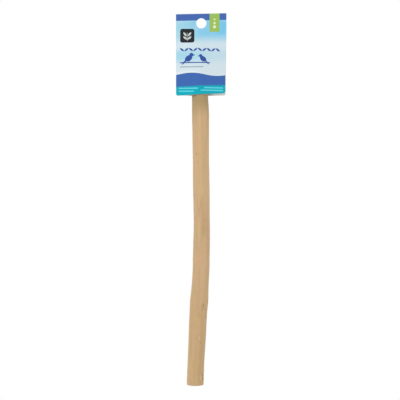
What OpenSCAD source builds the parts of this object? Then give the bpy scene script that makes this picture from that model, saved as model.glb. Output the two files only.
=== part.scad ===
// Natural wood bird perch on its folded hang card, as it hangs on a shop peg.
// Origin: centre of the card's hang hole. X runs left to right, Y front to back, Z up.
// The printed front faces -Y. Lengths are in millimetres and angles in degrees.

/* [Branch] */
// Length of the branch from sawn end to sawn end
wood_len = 330; // [260:1:420]
// Nominal diameter of the branch
wood_d = 16.5; // [14:0.1:20]
// Distance from the hang hole down to the branch's upper end
wood_drop = 31.2; // [28:0.2:34]
// Distance of the branch's upper end to the left of the hang hole
wood_left = 1.4; // [0:0.1:3]
// Sideways wander of the branch between its widest points
wander = 6.6; // [0:0.1:12]
// Bow of the branch towards the back at mid length
bow = 2; // [0:0.1:5]
// Rounding of the sawn rims
rim_ease = 0.8; // [0.3:0.1:1.5]

/* [Wire slots] */
// Width of the slot that takes a cage wire
slot_w = 4.8; // [3.6:0.1:6]
// Depth of the slot from the sawn end to its round bottom
slot_deep = 12.7; // [9:0.1:14]

/* [Hang card] */
// Width of the card when flat
card_w = 50.4; // [44:0.2:60]
// Thickness of the board
card_t = 0.45; // [0.3:0.05:0.7]
// Distance from the hang hole up to the fold
card_rise = 9.7; // [8:0.1:16]
// Distance from the hang hole down to the card's foot
card_drop = 71.6; // [70:0.2:90]
// Distance of the card's middle to the left of the hang hole
card_left = 0.1; // [-2:0.1:2]
// Gap between the two layers where they are pressed together
layer_gap = 0.12; // [0.06:0.02:0.3]
// Distance below the hang hole over which the layers stay pressed
pressed_drop = 8; // [7.5:0.5:12]
// Radius of the two lower corners
corner_r = 2; // [1:0.1:4]
// Tilt of the fold line
fold_tilt = 1.2; // [-2:0.1:2]
// Tilt of the front layer's foot
front_tilt = 3.2; // [-4:0.1:4]
// Tilt of the back layer's foot
back_tilt = 0.2; // [-4:0.1:4]
// Slope of the two wings that stay further open
open_slope = 8; // [4:0.5:10]
// Slope of the two wings that close further
shut_slope = 14; // [8:0.5:15]

/* [Hang hole] */
// Diameter of the round hang hole
hang_d = 10.2; // [6:0.1:12]

/* [Staples] */
// Length of the staple's crown, outside to outside
staple_span = 9.6; // [7:0.1:10.5]
// Height of the staple from its crown to its points
staple_leg = 6.35; // [5:0.05:8]
// Width of the flat staple wire
staple_wire_w = 1.2; // [0.8:0.1:1.6]
// Thickness of the flat staple wire
staple_wire_t = 0.5; // [0.3:0.05:0.65]
// Outer radius of the staple's shoulders
staple_bend_r = 0.75; // [0.7:0.05:1]
// Length of the chisel points
staple_point = 1.1; // [0.5:0.1:2]
// Distance from the bottom of the wire slot down to the upper staple
staple_start = 2; // [1:0.1:3]
// Distance between the two staples, middle to middle
staple_pitch = 13; // [11.5:0.1:14]

/* [Glue] */
// Length of the pressed glue bead
glue_len = 21; // [12:0.5:23]
// Width of the pressed glue bead
glue_w = 6.4; // [3:0.1:8]
// Thickness of the pressed glue bead
glue_t = 0.4; // [0.3:0.05:0.8]

/* [Hidden] */
// Gap where two pieces rest on each other
seat_gap = 0.05;
// Clearance of a staple leg in its slit
slit_gap = 0.02;
// Extra length of every cut past the surface that it opens
overrun = 1;
// Distance between two rings of the branch
ring_step = 5;
// Sides of one ring of the branch
ring_sides = 30;
// Steps round the fold of the card
fold_steps = 6;
// Columns of the card on each wing and over the branch
wing_columns = 6;
arch_columns = 6;

// The branch by length share: sideways share of the wander, share of the bow, girth share of the
// diameter, and depth share, which is its thickness from front to back over its width.
branch_shares = [
  [0.00, 0.000, 0.00, 0.970, 1.000],
  [0.13, 0.027, 0.00, 0.980, 1.000],
  [0.18, 0.090, 0.04, 1.036, 0.985],
  [0.24, 0.120, 0.16, 1.014, 0.975],
  [0.32, 0.155, 0.40, 0.986, 1.000],
  [0.40, 0.210, 0.70, 1.009, 0.990],
  [0.50, 0.285, 1.00, 0.986, 1.005],
  [0.58, 0.242, 0.95, 1.010, 0.985],
  [0.65, 0.176, 0.80, 1.020, 0.985],
  [0.71, 0.000, 0.62, 1.044, 0.990],
  [0.745, -0.130, 0.52, 1.085, 0.960],
  [0.78, -0.245, 0.44, 1.080, 0.960],
  [0.85, -0.385, 0.28, 1.060, 0.975],
  [0.93, -0.590, 0.10, 1.025, 0.990],
  [0.955, -0.640, 0.06, 1.020, 0.995],
  [0.975, -0.675, 0.03, 1.062, 0.965],
  [1.00, -0.712, 0.00, 1.058, 0.965]
];

// Knots and scars: length share, angle from the front towards the right, height share of the
// diameter, reach share of the diameter along the branch, and spread angle round it.
knot_shares = [
  [0.176, 84, 0.020, 0.50, 30],
  [0.302, -32, 0.018, 0.30, 16],
  [0.470, 150, 0.040, 0.70, 30],
  [0.620, -120, 0.030, 0.60, 28],
  [0.753, 62, 0.033, 0.55, 34],
  [0.772, 40, -0.022, 0.30, 20],
  [0.880, 170, 0.035, 0.55, 30],
  [0.960, 58, -0.018, 0.45, 16]
];

// Turn of each ring that rounds a sawn rim
rim_turns = [0, 30, 60];
// Places of the card's rows as shares of the stretch that they lie on
foot_row_shares = [0, 0.03, 0.1, 0.25, 0.5, 0.75];
ramp_row_shares = [0, 0.12, 0.25, 0.38, 0.5, 0.62, 0.75, 0.88];
pressed_row_shares = [0, 0.5];
// Places of the columns at a rounded corner as shares of its radius
corner_column_shares = [0, 0.06, 0.25, 0.6];
// Places and widths of the glue bead's rows, and places and thicknesses of its columns
glue_row_shares = [
  [-1, 0.3], [-0.93, 0.62], [-0.78, 0.85], [-0.5, 0.97], [0, 1],
  [0.5, 0.94], [0.8, 0.8], [0.94, 0.56], [1, 0.25]
];
glue_column_shares = [
  [-1, 0.55], [-0.8, 0.95], [-0.4, 1], [0, 1], [0.4, 1], [0.8, 0.95], [1, 0.55]
];

wood_top = -wood_drop;
slot_seat = slot_deep - slot_w / 2;
slot_reach = wood_d + 2 * overrun;
ring_count = ceil((wood_len - 2 * rim_ease) / ring_step);
layer_mid = (card_t + layer_gap) / 2;
front_stand = glue_t + 2 * seat_gap + card_t / 2;
back_stand = 2 * seat_gap + card_t / 2;
first_staple = wood_top - slot_deep - staple_start - staple_span / 2;
glue_middle = (wood_top - slot_deep - card_drop) / 2;

// Smooth curve through one column of a table

function row_before(table, at, i = 0) =
  i >= len(table) - 2 || at < table[i + 1][0] ? i : row_before(table, at, i + 1);

function slope_at(table, column, i) =
  let (
    a = max(i - 1, 0),
    b = min(i + 1, len(table) - 1)
  )
  (table[b][column] - table[a][column]) / (table[b][0] - table[a][0]);

function curve_at(table, column, at) =
  let (
    i = row_before(table, at),
    span = table[i + 1][0] - table[i][0],
    s = (at - table[i][0]) / span,
    bend = span * slope_at(table, column, i),
    end_bend = span * slope_at(table, column, i + 1)
  )
  table[i][column] * (2 * s * s * s - 3 * s * s + 1)
  + table[i + 1][column] * (3 * s * s - 2 * s * s * s)
  + bend * (s * s * s - 2 * s * s + s)
  + end_bend * (s * s * s - s * s);

function eased(s) = s * s * (3 - 2 * s);

function total(list) = list * [for (i = list) 1];

// The branch's line and its half sizes at a length share

function length_share(z) = min(max((wood_top - z) / wood_len, 0), 1);

function line_x(s) = -wood_left + wander * curve_at(branch_shares, 1, s);

function line_y(s) = bow * curve_at(branch_shares, 2, s);

function half_width(s) = wood_d / 2 * curve_at(branch_shares, 3, s);

function half_depth(s) = half_width(s) * curve_at(branch_shares, 4, s);

function angle_between(a, b) = abs((a - b + 540) % 360 - 180);

function swelling(s, angle) = wood_d * total([
  for (knot = knot_shares)
    let (
      along = (s - knot[0]) * wood_len / (knot[3] * wood_d),
      around = angle_between(angle, knot[1]) / knot[4]
    )
    knot[2] * exp(-along * along - around * around)
]);

// One ring of the branch, drawn in by shrink where a rim is rounded
function ring(drop, shrink = 0) =
  let (s = drop / wood_len)
  [
    for (k = [0:ring_sides - 1])
      let (
        angle = 360 * k / ring_sides,
        more = swelling(s, angle) - shrink
      )
      [
        line_x(s) + (half_width(s) + more) * sin(angle),
        line_y(s) - (half_depth(s) + more) * cos(angle),
        wood_top - drop
      ]
  ];

function branch_rings() =
  let (inner_len = wood_len - 2 * rim_ease)
  concat(
    [for (a = rim_turns) ring(rim_ease * (1 - cos(a)), rim_ease * (1 - sin(a)))],
    [for (i = [0:ring_count]) ring(rim_ease + inner_len * i / ring_count)],
    [for (i = [len(rim_turns) - 1:-1:0])
      ring(wood_len - rim_ease * (1 - cos(rim_turns[i])), rim_ease * (1 - sin(rim_turns[i])))]
  );

// Closed solid through rings of points that run clockwise seen from the last one
module skin(rings) {
  n = len(rings[0]);
  last = len(rings) - 1;
  sides = [
    for (i = [0:last - 1], k = [0:n - 1])
      let (
        a = i * n + k,
        b = i * n + (k + 1) % n
      )
      each [[a, b, b + n], [a, b + n, a + n]]
  ];
  top = [for (k = [n - 1:-1:0]) k];
  bottom = [for (k = [0:n - 1]) last * n + k];
  polyhedron(points = [for (r = rings) each r], faces = concat([top, bottom], sides), convexity = 6);
}

module slot_cut(depth_sign) {
  rotate([0, 90, 0])
    cylinder(h = slot_reach, d = slot_w, center = true, $fn = 48);
  translate([-slot_reach / 2, -slot_w / 2, depth_sign > 0 ? 0 : -slot_seat - overrun])
    cube([slot_reach, slot_w, slot_seat + overrun]);
}

module perch_wood() {
  color("burlywood")
    difference() {
      skin(branch_rings());
      translate([line_x(0), line_y(0), wood_top - slot_seat])
        slot_cut(1);
      translate([line_x(1), line_y(1), wood_top - wood_len + slot_seat])
        slot_cut(-1);
      staple_slits();
    }
}

// The folded card: two layers that are pressed together round the hang hole, part below it and
// lie round the branch, with a wing on each side.

function open_share(z) =
  eased(min(max((-pressed_drop - z) / (wood_drop - pressed_drop), 0), 1));

// Middle of the board over the branch, measured from the branch's line, on a side's stand
function seat_r(z, stand) = half_depth(length_share(z)) + stand;

// Point in the middle of the board. The side is -1 for the front layer and 1 for the back one,
// and u is measured along the board from the branch's line.
function board_point(side, u, z) =
  let (
    r = seat_r(z, side < 0 ? front_stand : back_stand),
    opened = open_share(z),
    slope = opened * (side * u > 0 ? open_slope : shut_slope),
    turn = min(abs(u) / r * 180 / PI, slope),
    wing = max(abs(u) - r * slope * PI / 180, 0),
    middle = layer_mid + (r - layer_mid) * opened
  )
  [
    -wood_left + sign(u) * (r * sin(turn) + wing * cos(slope)),
    side * (middle - r * (1 - cos(turn)) - wing * sin(slope)),
    z
  ];

board_left = -card_w / 2 - card_left + wood_left;
board_right = card_w / 2 - card_left + wood_left;
arch_w = seat_r(wood_top, front_stand) * shut_slope * PI / 180;

function corner_lift(u) =
  let (inset = corner_r - min(u - board_left, board_right - u, corner_r))
  corner_r - sqrt(max(corner_r * corner_r - inset * inset, 0));

function foot_z(u, tilt) = -card_drop + (u - wood_left) * tan(tilt) + corner_lift(u);

function fold_z(u) = card_rise + (u - wood_left) * tan(fold_tilt) - card_t / 2 - layer_mid;

function stretch(low, high, shares) = [for (s = shares) low + (high - low) * s];

function layer_heights(u, tilt) = concat(
  stretch(foot_z(u, tilt), wood_top, foot_row_shares),
  stretch(wood_top, -pressed_drop, ramp_row_shares),
  stretch(-pressed_drop, fold_z(u), pressed_row_shares)
);

// One column of points up the front layer, over the fold and down the back layer
function board_column(u) =
  let (
    front = layer_heights(u, front_tilt),
    back = layer_heights(u, back_tilt)
  )
  concat(
    [for (z = front) board_point(-1, u, z)],
    [for (k = [0:fold_steps])
      let (turn = 180 * k / fold_steps)
      [u - wood_left, -layer_mid * cos(turn), fold_z(u) + layer_mid * sin(turn)]],
    [for (i = [len(back) - 1:-1:0]) board_point(1, u, back[i])]
  );

board_columns = concat(
  [for (s = corner_column_shares) board_left + corner_r * s],
  [for (i = [0:wing_columns - 1])
    board_left + corner_r - (board_left + corner_r + arch_w) * i / wing_columns],
  [for (i = [0:arch_columns]) arch_w * (2 * i / arch_columns - 1)],
  [for (i = [1:wing_columns]) arch_w + (board_right - corner_r - arch_w) * i / wing_columns],
  [for (i = [len(corner_column_shares) - 1:-1:0]) board_right - corner_r * corner_column_shares[i]]
);

function unit(v) = v / norm(v);

// A grid of points moved along its normals by a distance
function moved_grid(grid, distance) =
  let (
    last = len(grid) - 1,
    end = len(grid[0]) - 1
  )
  [
    for (i = [0:last]) [
      for (j = [0:end])
        let (
          across = grid[min(i + 1, last)][j] - grid[max(i - 1, 0)][j],
          along = unit(grid[i][min(j + 1, end)] - grid[i][max(j - 1, 0)])
        )
        grid[i][j] + distance * unit(cross(across, along))
    ]
  ];

// Closed solid between two grids of points, the outer one on the side that the normals point to
module slab(outer, inner) {
  m = len(outer[0]);
  last = len(outer) - 1;
  shift = len(outer) * m;
  end = m - 1;
  // A quad as two triangles
  function quad(a, b, c, d) = [[a, b, c], [a, c, d]];
  faces = concat(
    [for (i = [0:last - 1], j = [0:end - 1])
      let (a = i * m + j)
      each quad(a, a + 1, a + m + 1, a + m)],
    [for (i = [0:last - 1], j = [0:end - 1])
      let (a = shift + i * m + j)
      each quad(a, a + m, a + m + 1, a + 1)],
    [for (j = [0:end - 1]) each quad(j, shift + j, shift + j + 1, j + 1)],
    [for (j = [0:end - 1])
      let (a = last * m + j)
      each quad(a, a + 1, shift + a + 1, shift + a)],
    [for (i = [0:last - 1])
      let (a = i * m)
      each quad(a, a + m, shift + a + m, shift + a)],
    [for (i = [0:last - 1])
      let (a = i * m + end)
      each quad(a, shift + a, shift + a + m, a + m)]
  );
  polyhedron(
    points = concat([for (column = outer) each column], [for (column = inner) each column]),
    faces = faces,
    convexity = 8
  );
}

module header_card() {
  board = [for (u = board_columns) board_column(u)];
  color("lightskyblue")
    difference() {
      slab(moved_grid(board, card_t / 2), moved_grid(board, -card_t / 2));
      rotate([90, 0, 0])
        cylinder(h = card_t + layer_gap + card_t + 2 * overrun, d = hang_d, center = true, $fn = 96);
      staple_slits();
    }
}

// Staples, driven through the back layer into the branch with their crowns upright

function staple_z(i) = first_staple - staple_pitch * i;

// Outside of the crown, clear of the board along its whole length
function crown_y(i) = staple_wire_t + seat_gap + card_t / 2
  + max([for (end = [-1:1]) seat_r(staple_z(i) + end * staple_span / 2, back_stand)]);

// Bridge shape of a width and a height, its shoulders rounded and its feet at the given height
module bridge(width, height, r) {
  translate([-width / 2, -height])
    square([width, height - r]);
  translate([-width / 2 + r, -height])
    square([width - 2 * r, height]);
  for (side = [-1, 1])
    translate([side * (width / 2 - r), -r])
      circle(r = r, $fn = 32);
}

// Corner that is cut off a leg to leave its chisel point
module point_cut() {
  inside = staple_wire_t + overrun;
  polygon([
    [0, 0],
    [-inside, staple_point * inside / staple_wire_t],
    [-inside, -overrun],
    [0, -overrun]
  ]);
}

module staple_outline() {
  difference() {
    bridge(staple_span, staple_leg, staple_bend_r);
    translate([0, -staple_wire_t])
      bridge(staple_span - 2 * staple_wire_t, staple_leg, staple_bend_r - staple_wire_t);
    for (side = [0, 1])
      mirror([side, 0])
        translate([staple_span / 2, -staple_leg])
          point_cut();
  }
}

module staple(i) {
  color("silver")
    translate([-wood_left, crown_y(i), staple_z(i)])
      rotate([0, 90, 0])
        linear_extrude(height = staple_wire_w, center = true)
          staple_outline();
}

// Slits that the legs pass through, in the board and in the branch
module staple_slits() {
  slit_w = staple_wire_w + 2 * slit_gap;
  slit_t = staple_wire_t + 2 * slit_gap;
  for (i = [0, 1], side = [-1, 1])
    translate([
      -wood_left - slit_w / 2,
      crown_y(i) - staple_leg - slit_gap,
      staple_z(i) + side * (staple_span - staple_wire_t) / 2 - slit_t / 2
    ])
      cube([slit_w, staple_leg, slit_t]);
}

module staple_upper() {
  staple(0);
}

module staple_lower() {
  staple(1);
}

// Hot glue, pressed flat between the branch and the front layer

function glue_point(across, along, height) =
  let (
    z = glue_middle + along * glue_len / 2,
    s = length_share(z),
    angle = across * glue_w / wood_d * 180 / PI,
    r = half_depth(s) + seat_gap + height
  )
  [-wood_left + r * sin(angle), -r * cos(angle), z];

module glue_bead() {
  color("ivory")
    slab(
      [for (c = glue_column_shares)
        [for (r = glue_row_shares) glue_point(c[0] * r[1], r[0], glue_t * c[1])]],
      [for (c = glue_column_shares)
        [for (r = glue_row_shares) glue_point(c[0] * r[1], r[0], 0)]]
    );
}

perch_wood();
header_card();
staple_upper();
staple_lower();
glue_bead();
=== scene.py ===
"""Looks for a natural wood bird perch on its folded hang card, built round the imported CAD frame."""

import math

import bmesh
import bpy
import numpy as np
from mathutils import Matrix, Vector, noise


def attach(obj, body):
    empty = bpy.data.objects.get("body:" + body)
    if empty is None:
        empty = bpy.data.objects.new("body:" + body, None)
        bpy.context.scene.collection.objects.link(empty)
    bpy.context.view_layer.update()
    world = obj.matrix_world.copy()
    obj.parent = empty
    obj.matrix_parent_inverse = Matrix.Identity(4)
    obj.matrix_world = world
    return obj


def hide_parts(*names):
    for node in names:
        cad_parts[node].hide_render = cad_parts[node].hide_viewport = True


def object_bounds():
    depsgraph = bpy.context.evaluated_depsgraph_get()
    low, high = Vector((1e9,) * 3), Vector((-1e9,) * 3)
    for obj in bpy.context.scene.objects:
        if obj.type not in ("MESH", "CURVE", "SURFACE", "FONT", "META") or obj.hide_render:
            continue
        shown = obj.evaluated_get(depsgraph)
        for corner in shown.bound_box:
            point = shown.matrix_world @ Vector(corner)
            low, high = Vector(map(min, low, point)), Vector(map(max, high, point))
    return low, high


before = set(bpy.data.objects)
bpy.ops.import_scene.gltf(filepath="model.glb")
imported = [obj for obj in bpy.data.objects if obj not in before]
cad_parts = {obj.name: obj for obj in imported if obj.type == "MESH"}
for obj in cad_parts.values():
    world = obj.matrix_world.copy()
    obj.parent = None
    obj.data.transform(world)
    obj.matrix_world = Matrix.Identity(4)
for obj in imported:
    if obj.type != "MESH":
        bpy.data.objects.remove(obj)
cad_low, cad_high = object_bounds()

MM = 0.001
# Points closer than this are joined
WELD = 0.01 * MM

# Camera, in metres: the photograph is 400 pixels wide and shows 1 mm a pixel in the plane of the branch
VIEW_DISTANCE = 1.0
VIEW_WIDTH = 0.4
VIEW_CENTRE = (-1.3 * MM, -176.6 * MM)

# Studio, in metres: the strength of the surround, then each lamp's name, place, target, size and power
AMBIENT = 0.6
LAMPS = [
    ("key", (-0.85, -0.8, 0.5), (0, 0, -0.17), 0.5, 6.5),
    ("fill", (1.1, -0.5, -0.1), (0, 0, -0.18), 0.8, 3.0),
    ("rim", (0.2, 0.9, 0.5), (0, 0, -0.15), 0.7, 4.0),
]
FLOOR_DROP = 0.06
FLOOR_R = 0.9
FLOOR_SIDES = 96
FLOOR_FADE = (0.1, 0.22)

# Card, in millimetres and degrees as in the CAD model
CARD_W = 50.4
CARD_T = 0.45
CARD_RISE = 9.7
CARD_DROP = 71.6
CARD_LEFT = 0.1
LAYER_GAP = 0.12
PRESSED_DROP = 8.0
CORNER_R = 2.0
FOLD_TILT = 1.2
FRONT_TILT = 3.2
BACK_TILT = 0.2
OPEN_SLOPE = 8.0
SHUT_SLOPE = 14.0
HANG_D = 10.2
GLUE_T = 0.4
SEAT_GAP = 0.05
FOLD_SLOPE = math.tan(math.radians(FOLD_TILT))

# Branch, in millimetres as in the CAD model
WOOD_DROP = 31.2
WOOD_LEFT = 1.4
RIM_EASE = 0.8
SLOT_W = 4.8
SLOT_DEEP = 12.7

# Rounding of the small pieces' edges, in millimetres
STAPLE_EASE = 0.06
GLUE_EASE = 0.08

# Edges that turn more than this many degrees are shaded as sharp, or rounded on the small pieces
BRANCH_SHARP = 38
CARD_SHARP = 40
EASED_TURN = 35


def linear(r, g, b):
    """A colour written as 8-bit sRGB, in Blender's linear values."""
    shares = (c / 255 for c in (r, g, b))
    return tuple(c / 12.92 if c <= 10 / 255 else ((c + 0.055) / 1.055) ** 2.4 for c in shares)


def smoothstep(low, high, x):
    t = np.clip((x - low) / (high - low), 0, 1)
    return t * t * (3 - 2 * t)


def new_object(name, mesh):
    o = bpy.data.objects.new(name, mesh)
    bpy.context.scene.collection.objects.link(o)
    return o


def mesh_from(name, points, faces):
    """A mesh from points in millimetres."""
    mesh = bpy.data.meshes.new(name)
    mesh.from_pydata([tuple(c * MM for c in p) for p in points], [], faces)
    mesh.validate()
    mesh.update()
    return mesh


def smooth_shade(mesh, angle):
    mesh.polygons.foreach_set("use_smooth", [True] * len(mesh.polygons))
    mesh.set_sharp_from_angle(angle=math.radians(angle))


def cut(o, cutter):
    """Takes the cutter out of the object and removes it."""
    m = o.modifiers.new("cut", "BOOLEAN")
    m.operation = "DIFFERENCE"
    m.solver = "EXACT"
    m.material_mode = "TRANSFER"
    m.object = cutter
    graph = bpy.context.evaluated_depsgraph_get()
    made = bpy.data.meshes.new_from_object(o.evaluated_get(graph))
    made.name = o.name
    o.modifiers.clear()
    o.data = made
    bpy.data.objects.remove(cutter)


def fan_out(mesh):
    """Gives a middle point to each face with more than four sides, or that meets one neighbour twice.

    A straight line through such a face could lie on another line, and the mesh would no longer be closed."""
    bm = bmesh.new()
    bm.from_mesh(mesh)
    bmesh.ops.remove_doubles(bm, verts=bm.verts, dist=WELD)
    chosen = []
    for face in bm.faces:
        neighbours = [f for edge in face.edges for f in edge.link_faces if f is not face]
        if len(face.verts) > 4 or (len(face.verts) == 4 and len(set(neighbours)) < len(neighbours)):
            chosen.append(face)
    bmesh.ops.poke(bm, faces=chosen, center_mode="MEAN_WEIGHTED")
    bm.to_mesh(mesh)
    bm.free()


# Shader nodes


class Nodes:
    """Short calls for the nodes of a tree."""

    def __init__(self, tree):
        self.tree = tree

    def put(self, socket, value):
        if isinstance(value, bpy.types.NodeSocket):
            self.tree.links.new(value, socket)
        elif isinstance(value, tuple) and len(value) == 3 and socket.type == "RGBA":
            socket.default_value = (*value, 1)
        else:
            socket.default_value = value

    def node(self, kind, **inputs):
        n = self.tree.nodes.new("ShaderNode" + kind)
        for key, value in inputs.items():
            self.put(n.inputs[key], value)
        return n

    def output_of(self, kind, values, **settings):
        """The first output of a new node whose first inputs take the values."""
        n = self.node(kind)
        for key, setting in settings.items():
            setattr(n, key, setting)
        for socket, value in zip(n.inputs, values):
            self.put(socket, value)
        return n.outputs[0]

    def math(self, operation, a, b=0.0, c=0.0, clamp=False):
        return self.output_of("Math", (a, b, c), operation=operation, use_clamp=clamp)

    def plus(self, a, b):
        return self.math("ADD", a, b)

    def minus(self, a, b):
        return self.math("SUBTRACT", a, b)

    def times(self, a, b, clamp=False):
        return self.math("MULTIPLY", a, b, clamp=clamp)

    def hypot(self, p, q):
        return self.math("SQRT", self.plus(self.times(p, p), self.times(q, q)))

    def mix(self, factor, a, b):
        n = self.node("Mix")
        n.data_type = "RGBA"
        for index, value in ((0, factor), (6, a), (7, b)):
            self.put(n.inputs[index], value)
        return n.outputs[2]

    def mix_shaders(self, factor, a, b):
        return self.output_of("MixShader", (factor, a, b))

    def ramp(self, value, low, high, to_low=0.0, to_high=1.0):
        """Value from low..high to to_low..to_high, smooth and clamped."""
        values = (value, low, high, to_low, to_high)
        return self.output_of("MapRange", values, interpolation_type="SMOOTHSTEP")

    def attribute(self, name, output="Fac"):
        n = self.node("Attribute")
        n.attribute_name = name
        return n.outputs[output]

    def split(self, vector):
        """The three parts of a vector."""
        return self.node("SeparateXYZ", Vector=vector).outputs

    def length(self, vector):
        n = self.node("VectorMath")
        n.operation = "LENGTH"
        self.put(n.inputs[0], vector)
        return n.outputs["Value"]

    def coordinates(self):
        """Object coordinates in millimetres."""
        return self.scaled(self.node("TexCoord").outputs["Object"], (1 / MM, 1 / MM, 1 / MM))

    def scaled(self, vector, scale, offset=(0, 0, 0)):
        return self.output_of("VectorMath", (vector, scale, offset), operation="MULTIPLY_ADD")

    def noise(self, vector, scale=1.0, detail=2.0, roughness=0.5, distortion=0.0):
        settings = {"Scale": scale, "Detail": detail, "Roughness": roughness, "Distortion": distortion}
        return self.node("TexNoise", Vector=vector, **settings).outputs[0]

    def bump(self, height, strength, distance, normal=None):
        """A normal from a height. The distance is in millimetres."""
        n = self.node("Bump", Strength=strength, Distance=distance * MM, Height=height)
        if normal is not None:
            self.put(n.inputs["Normal"], normal)
        return n.outputs[0]


class Shader(Nodes):
    """A material with one principled shader."""

    def __init__(self, name):
        self.material = bpy.data.materials.new(name)
        self.material.use_nodes = True
        super().__init__(self.material.node_tree)
        self.tree.nodes.clear()
        self.out = self.node("OutputMaterial")
        self.shader = self.node("BsdfPrincipled")
        self.put(self.out.inputs[0], self.shader.outputs[0])

    def finish(self, colour, roughness, normal=None, **fixed):
        self.put(self.shader.inputs["Base Color"], colour)
        self.put(self.shader.inputs["Roughness"], roughness)
        if normal is not None:
            self.put(self.shader.inputs["Normal"], normal)
        for key, value in fixed.items():
            self.shader.inputs[key.replace("_", " ")].default_value = value
        return self.material


# Studio


def add_camera():
    data = bpy.data.cameras.new("camera")
    data.lens = data.sensor_width * VIEW_DISTANCE / VIEW_WIDTH
    camera = new_object("camera", data)
    camera.location = (VIEW_CENTRE[0], -VIEW_DISTANCE, VIEW_CENTRE[1])
    camera.rotation_euler = (math.radians(90), 0, 0)
    bpy.context.scene.camera = camera


def seen_white(n):
    """One where a camera, glossy or transmitted ray looks, and zero where light is gathered."""
    rays = n.node("LightPath").outputs
    seen = n.math("MAXIMUM", rays["Is Camera Ray"], rays["Is Glossy Ray"])
    return n.math("MAXIMUM", seen, rays["Is Transmission Ray"])


def add_world(strength):
    """A surround that looks white and lights the scene with the strength."""
    world = bpy.data.worlds.new("studio")
    world.use_nodes = True
    n = Nodes(world.node_tree)
    back = n.tree.nodes["Background"]
    n.put(back.inputs[0], (1, 1, 1))
    n.put(back.inputs[1], n.output_of("MapRange", (seen_white(n), 0.0, 1.0, strength, 1.0)))
    bpy.context.scene.world = world


def add_lamp(name, place, target, size, power):
    data = bpy.data.lights.new(name, "AREA")
    data.shape = "DISK"
    data.size = size
    data.energy = power
    lamp = new_object(name, data)
    lamp.location = place
    lamp.rotation_euler = (Vector(target) - Vector(place)).to_track_quat("-Z", "Y").to_euler()


def disc_mesh(name, radius, sides):
    """A flat round sheet, in metres."""
    turns = [2 * math.pi * k / sides for k in range(sides)]
    mesh = bpy.data.meshes.new(name)
    mesh.from_pydata([(radius * math.cos(a), radius * math.sin(a), 0) for a in turns], [], [range(sides)])
    mesh.update()
    return mesh


def floor_material():
    """Pale and matt, turning into the white surround with distance, and clear from below."""
    s = Shader("floor")
    place = s.node("TexCoord").outputs["Object"]
    grain = s.noise(place, 220, 3)
    s.finish(s.mix(grain, (0.86, 0.86, 0.85), (0.9, 0.9, 0.89)), 0.75, Specular_IOR_Level=0.3)
    white = s.node("Emission", Color=(1.0, 1.0, 1.0), Strength=1.0)
    fade = s.math("MULTIPLY_ADD", s.ramp(s.length(place), *FLOOR_FADE), 0.9, 0.1)
    pale = s.mix_shaders(s.times(fade, seen_white(s)), s.shader.outputs[0], white.outputs[0])
    below = s.node("NewGeometry").outputs["Backfacing"]
    s.put(s.out.inputs[0], s.mix_shaders(below, pale, s.node("BsdfTransparent").outputs[0]))
    return s.material


def add_floor():
    """A pale round floor below the view of the main camera."""
    mesh = disc_mesh("floor", FLOOR_R, FLOOR_SIDES)
    mesh.materials.append(floor_material())
    floor = new_object("floor", mesh)
    floor.location = (VIEW_CENTRE[0], 0, cad_low[2] - FLOOR_DROP)


# The branch, rebuilt finely from the rings of its CAD solid. Lengths in millimetres.

# A ring of the CAD branch has this many points or more, at one height within the first tolerance.
# Rings on the rounded rims are left out, but not those where the rims start, within the second.
RING_POINTS = 22
RING_LEVEL = 0.002
RIM_LEVEL = 0.01
# Points of a ring further out than this share of the furthest lie on the skin, not in a slot
SKIN_SHARE = 0.8
HARMONICS = 7

# Fine mesh: step between rings, sides, and turns of the rings on a rounded rim. On a sawn end, the rings
# as shares of the rim, how far the end is sunk in, and the depth of its saw marks.
ROW_STEP = 0.6
SIDES = 104
RIM_TURNS = np.radians([0, 22, 45, 68])
END_SHARES = (0.86, 0.72, 0.58, 0.44, 0.3, 0.16)
END_SUNK = 0.05
SAW_MARKS = 0.035
# Relief of the skin: long ridges, broad lumps and fine fibres, the share of them under the card, how far
# all of it is sunk, and the grain's twist in radians a millimetre
RIDGES = 0.085
LUMPS = 0.16
FIBRES = 0.028
COVERED_SHARE = 0.15
SKIN_SUNK = 0.03
GRAIN_TWIST = 0.0022

# Slot tool: half its length, how far it stands out, rows up a wall, degrees a step round its bottom,
# columns along it, and the depth of its marks as a share
TOOL_REACH = 11.0
TOOL_START = 3.0
TOOL_ROWS = 15
TOOL_TURN = 12
TOOL_COLUMNS = 45
TOOL_MARKS = 0.05

# Radius of the round on which the grain's coordinates lie
GRAIN_R = 8
# A face that looks this much up or down, this close to an end, is sawn
SAWN_FACING = 0.86
SAWN_REACH = 0.25


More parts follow.
